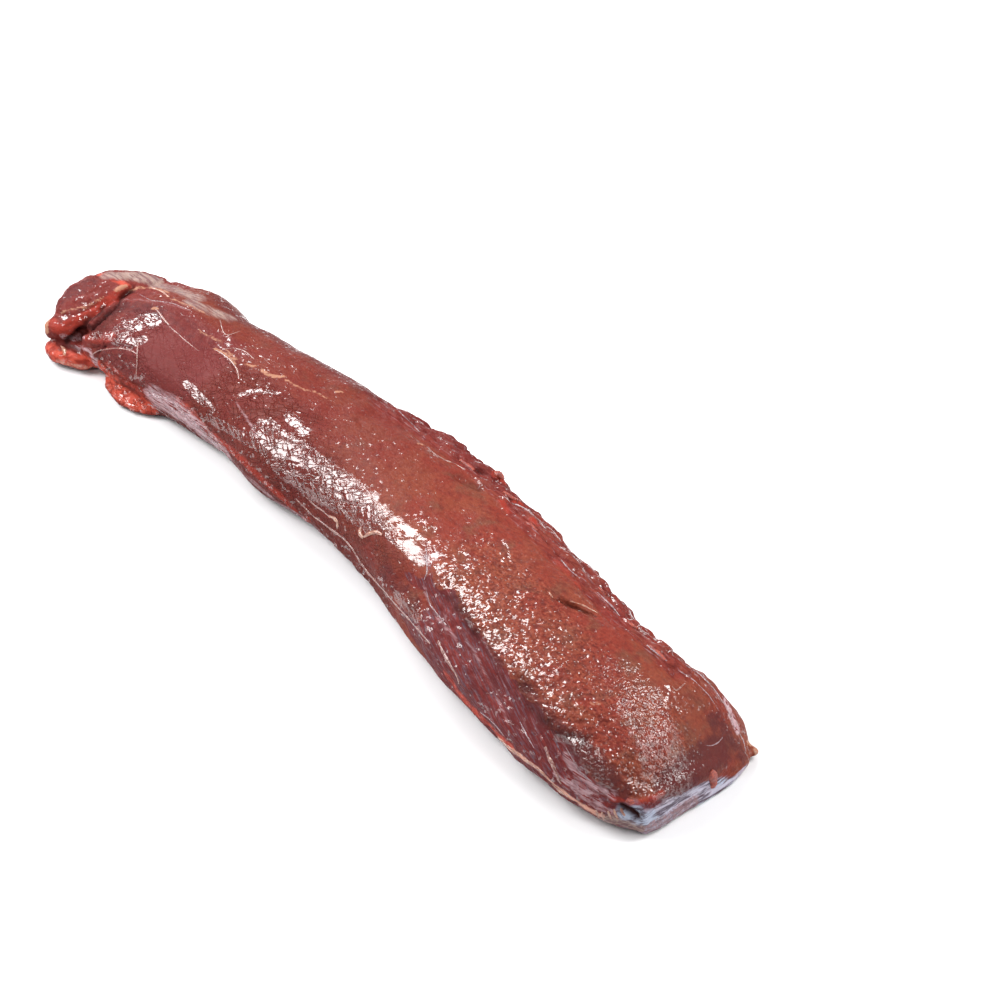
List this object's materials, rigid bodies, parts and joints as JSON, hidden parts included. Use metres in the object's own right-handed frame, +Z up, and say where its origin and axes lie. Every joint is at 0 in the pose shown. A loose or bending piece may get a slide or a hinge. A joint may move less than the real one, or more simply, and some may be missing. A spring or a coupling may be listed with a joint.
{
  "type": "raw venison loin",
  "caption": "Raw loin of lean dark red meat, long and rounded, blunt at the thick end, ragged with folds and flaps at the thin end.",
  "frame": {"origin": "middle of the loin's box, on the table plane that its underside rests on", "axes": "+X along the loin towards its thick blunt end, +Y across it towards the ragged edge cut from the backbone, +Z up from the table"},
  "size_m": [0.44, 0.102, 0.045],
  "materials": {
    "meat": "wet lean meat, dark brown-red to purple-red, fine fibres with a glistening film of juice",
    "silverskin": "thin wet sheet of connective tissue, pearly lilac-grey, partly see-through over the meat",
    "fat": "soft cream and peach shreds of fat, wet"
  },
  "bodies": {
    "root": {"loin": "meat"}
  },
  "joints": []
}
